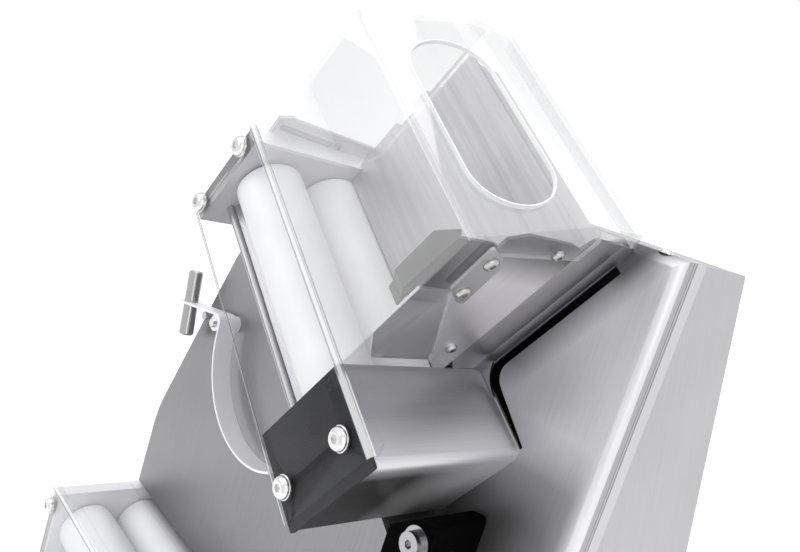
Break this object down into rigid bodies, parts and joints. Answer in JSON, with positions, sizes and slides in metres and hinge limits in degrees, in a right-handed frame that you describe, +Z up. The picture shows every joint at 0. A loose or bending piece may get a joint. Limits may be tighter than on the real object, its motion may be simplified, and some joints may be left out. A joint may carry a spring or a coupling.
{
  "type": "pizza dough roller",
  "caption": "Bench-top two-stage pizza dough roller: a tilted upper roller head with a clear hopper, a chute with a swinging balance pan, and a level lower head.",
  "frame": {"origin": "centre of the overall box, on the floor the feet stand on", "axes": "+X to the machine's right seen from the front, +Y to the back, +Z up; the front faces -Y"},
  "size_m": [0.491, 0.426, 0.6728],
  "materials": {
    "stainless": "brushed stainless sheet",
    "plate_aluminium": "satin milled plate",
    "dark_cover": "dark grey semi-gloss paint",
    "clear": "clear polished acrylic",
    "white_roller": "smooth white food-grade plastic",
    "shaft_steel": "turned steel",
    "bright_fastener": "polished stainless",
    "bush_brass": "plain bearing bronze",
    "black_plastic": "satin black plastic",
    "black_rubber": "matt black rubber",
    "green_button": "glossy green plastic",
    "red_button": "glossy red plastic"
  },
  "bodies": {
    "machine": {"base_frame": "stainless", "rubber_feet": "black_rubber", "front_shell": "stainless", "rear_cover": "stainless", "cover_screws": "bright_fastener", "exit_tray": "stainless", "chute_plate": "stainless", "chute_block": "black_plastic", "chute_block_bolt": "bright_fastener", "button_collars": "plate_aluminium", "cable_gland": "black_plastic", "balance_pivot": "shaft_steel", "balance_stop": "shaft_steel", "upper_far_plate": "plate_aluminium", "upper_near_plate": "plate_aluminium", "upper_gear_casing": "stainless", "upper_casing_cover": "dark_cover", "upper_neck": "stainless", "upper_back_wall": "stainless", "upper_cheek": "stainless", "upper_slot_bracket": "plate_aluminium", "upper_hopper": "clear", "hopper_tab": "stainless", "hopper_screws": "bright_fastener", "upper_front_guard": "clear", "upper_scrapers": "shaft_steel", "lower_far_plate": "plate_aluminium", "lower_near_plate": "plate_aluminium", "lower_gear_casing": "stainless", "lower_casing_cover": "dark_cover", "lower_inlet_guard": "clear", "lower_front_guard": "clear", "lower_scrapers": "shaft_steel", "guard_bolts": "bright_fastener", "rear_bushes": "bush_brass", "lever_pivots": "shaft_steel", "gear_motor": "dark_cover", "motor_bracket": "plate_aluminium", "drive_belt": "black_rubber", "drive_bearings": "bush_brass"},
    "lower_rear_roll": {"lower_rear_roller": "white_roller", "lower_rear_shaft": "shaft_steel"},
    "lower_carriage": {"lower_front_bushes": "bush_brass"},
    "lower_front_roll": {"lower_front_roller": "white_roller", "lower_front_shaft": "shaft_steel"},
    "lower_lever": {"lower_gap_lever": "black_plastic"},
    "lower_drive": {"lower_drive_shaft": "shaft_steel"},
    "upper_rear_roll": {"upper_rear_roller": "white_roller", "upper_rear_shaft": "shaft_steel"},
    "upper_carriage": {"upper_front_bushes": "bush_brass"},
    "upper_front_roll": {"upper_front_roller": "white_roller", "upper_front_shaft": "shaft_steel"},
    "upper_lever": {"upper_gap_lever": "black_plastic"},
    "upper_drive": {"upper_drive_shaft": "shaft_steel"},
    "motor_drive": {"motor_pulley": "shaft_steel"},
    "balance": {"balance_pan": "stainless", "balance_weight": "bright_fastener"},
    "start_press": {"start_button": "green_button"},
    "stop_press": {"stop_button": "red_button"}
  },
  "joints": [
    {"name": "lower_rear_spin", "type": "hinge", "parent": "machine", "child": "lower_rear_roll", "pos_m": [-0.0624, -0.0929, 0.13146], "axis": [1, 0, 0], "continuous": true},
    {"name": "lower_gap_slide", "type": "slide", "parent": "machine", "child": "lower_carriage", "axis": [0, 0.9304, -0.3665], "range_m": [0, 0.0035]},
    {"name": "lower_front_spin", "type": "hinge", "parent": "lower_carriage", "child": "lower_front_roll", "pos_m": [-0.0624, -0.14686, 0.15271], "axis": [1, 0, 0], "continuous": true},
    {"name": "lower_lever_turn", "type": "hinge", "parent": "machine", "child": "lower_lever", "pos_m": [-0.2349, -0.11811, 0.14139], "axis": [-1, 0, 0], "range_deg": [0, 50]},
    {"name": "lower_drive_spin", "type": "hinge", "parent": "machine", "child": "lower_drive", "pos_m": [0.1411, -0.04219, 0.11148], "axis": [0, 0.9304, -0.3665], "continuous": true},
    {"name": "upper_rear_spin", "type": "hinge", "parent": "machine", "child": "upper_rear_roll", "pos_m": [0.01966, 0.03703, 0.46131], "axis": [0.8241, -0.2076, -0.527], "continuous": true},
    {"name": "upper_gap_slide", "type": "slide", "parent": "machine", "child": "upper_carriage", "axis": [0, 0.9304, -0.3665], "range_m": [0, 0.0035]},
    {"name": "upper_front_spin", "type": "hinge", "parent": "upper_carriage", "child": "upper_front_roll", "pos_m": [0.01966, -0.01693, 0.48256], "axis": [0.8241, -0.2076, -0.527], "continuous": true},
    {"name": "upper_lever_turn", "type": "hinge", "parent": "machine", "child": "upper_lever", "pos_m": [-0.07223, 0.03497, 0.53], "axis": [-0.8241, 0.2076, 0.527], "range_deg": [0, 50]},
    {"name": "upper_drive_spin", "type": "hinge", "parent": "machine", "child": "upper_drive", "pos_m": [0.1371, 0.05816, 0.36623], "axis": [0, 0.9304, -0.3665], "continuous": true},
    {"name": "motor_spin", "type": "hinge", "parent": "machine", "child": "motor_drive", "pos_m": [-0.0349, 0.00258, 0.17875], "axis": [0, 0.9304, -0.3665], "continuous": true},
    {"name": "balance_swing", "type": "hinge", "parent": "machine", "child": "balance", "pos_m": [-0.1269, -0.01634, 0.38719], "axis": [0, 0.9304, -0.3665], "range_deg": [0, 30]},
    {"name": "start_button_push", "type": "slide", "parent": "machine", "child": "start_press", "axis": [0, 0.9304, -0.3665], "range_m": [0, 0.0035], "stiffness_N_per_m": 400},
    {"name": "stop_button_push", "type": "slide", "parent": "machine", "child": "stop_press", "axis": [0, 0.9304, -0.3665], "range_m": [0, 0.0035], "stiffness_N_per_m": 400}
  ],
  "couplings": [
    {"joint": "upper_rear_spin", "follows": "lower_rear_spin", "ratio": 1},
    {"joint": "lower_front_spin", "follows": "lower_rear_spin", "ratio": -1},
    {"joint": "lower_drive_spin", "follows": "lower_rear_spin", "ratio": 1},
    {"joint": "lower_lever_turn", "follows": "lower_gap_slide", "rad_per_m": 249},
    {"joint": "upper_front_spin", "follows": "lower_rear_spin", "ratio": -1},
    {"joint": "upper_drive_spin", "follows": "lower_rear_spin", "ratio": 1},
    {"joint": "upper_lever_turn", "follows": "upper_gap_slide", "rad_per_m": 249},
    {"joint": "motor_spin", "follows": "lower_rear_spin", "ratio": 1}
  ]
}
